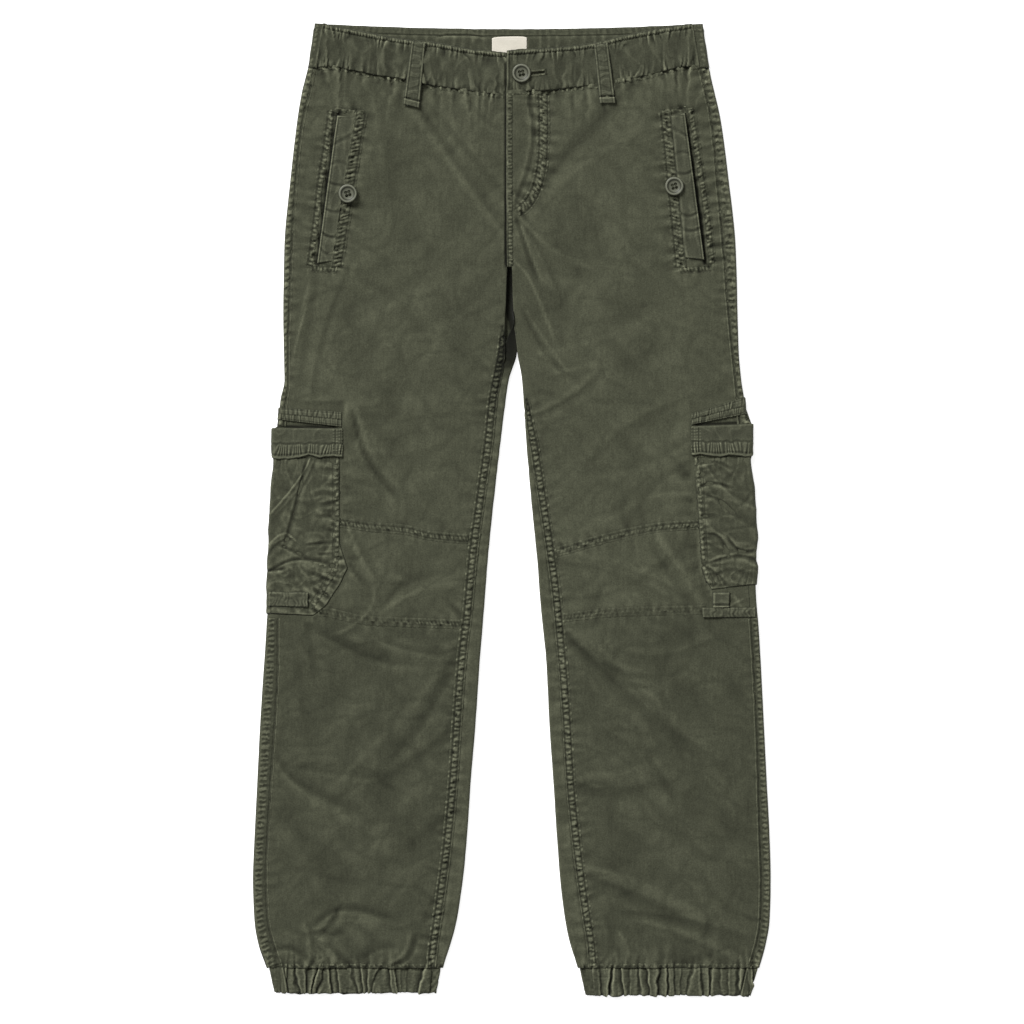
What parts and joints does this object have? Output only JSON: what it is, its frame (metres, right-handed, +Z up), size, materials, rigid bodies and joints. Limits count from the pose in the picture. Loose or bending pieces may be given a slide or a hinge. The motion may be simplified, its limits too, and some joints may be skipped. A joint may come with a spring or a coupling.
{
  "type": "cargo trousers",
  "caption": "Cargo trousers laid flat, face up, with gathered waistband, welt front pockets, wrap-round cargo pockets, knee panels and elastic cuffs.",
  "frame": {"origin": "centre of the flat garment's outline, on the surface it lies on", "axes": "+Z up, out of the front of the garment; +Y towards the waist; +X towards the wearer's left leg"},
  "size_m": [0.5181, 0.9711, 0.0119],
  "materials": {
    "cotton": "garment-dyed olive cotton poplin, washed and matt",
    "band": "the same cotton gathered over elastic",
    "trim": "the same cotton, folded, stitched and worn at its edges",
    "button": "olive four-hole resin button, satin",
    "label": "bare cream woven tape"
  },
  "bodies": {
    "root": {"back_leg_left": "cotton", "back_leg_right": "cotton", "belt_loop_back_centre": "trim", "belt_loop_back_left": "trim", "belt_loop_back_right": "trim", "belt_loop_front_left": "trim", "belt_loop_front_right": "trim", "button_pocket_left": "button", "button_pocket_right": "button", "button_waist": "button", "cargo_bag_left": "trim", "cargo_bag_right": "trim", "cargo_base_strip_left": "trim", "cargo_base_strip_right": "trim", "cargo_hem_left": "trim", "cargo_hem_right": "trim", "cargo_mouth_strip_left": "trim", "cargo_mouth_strip_right": "trim", "cargo_tab_left": "trim", "cuff_left": "band", "cuff_right": "band", "front_shin_left": "cotton", "front_shin_right": "cotton", "front_thigh_left": "cotton", "front_thigh_right": "cotton", "knee_panel_left": "cotton", "knee_panel_right": "cotton", "pocket_welt_left": "trim", "pocket_welt_right": "trim", "waist_label": "label", "waistband_back": "band", "waistband_front_left": "band", "waistband_front_right": "band"}
  },
  "joints": []
}
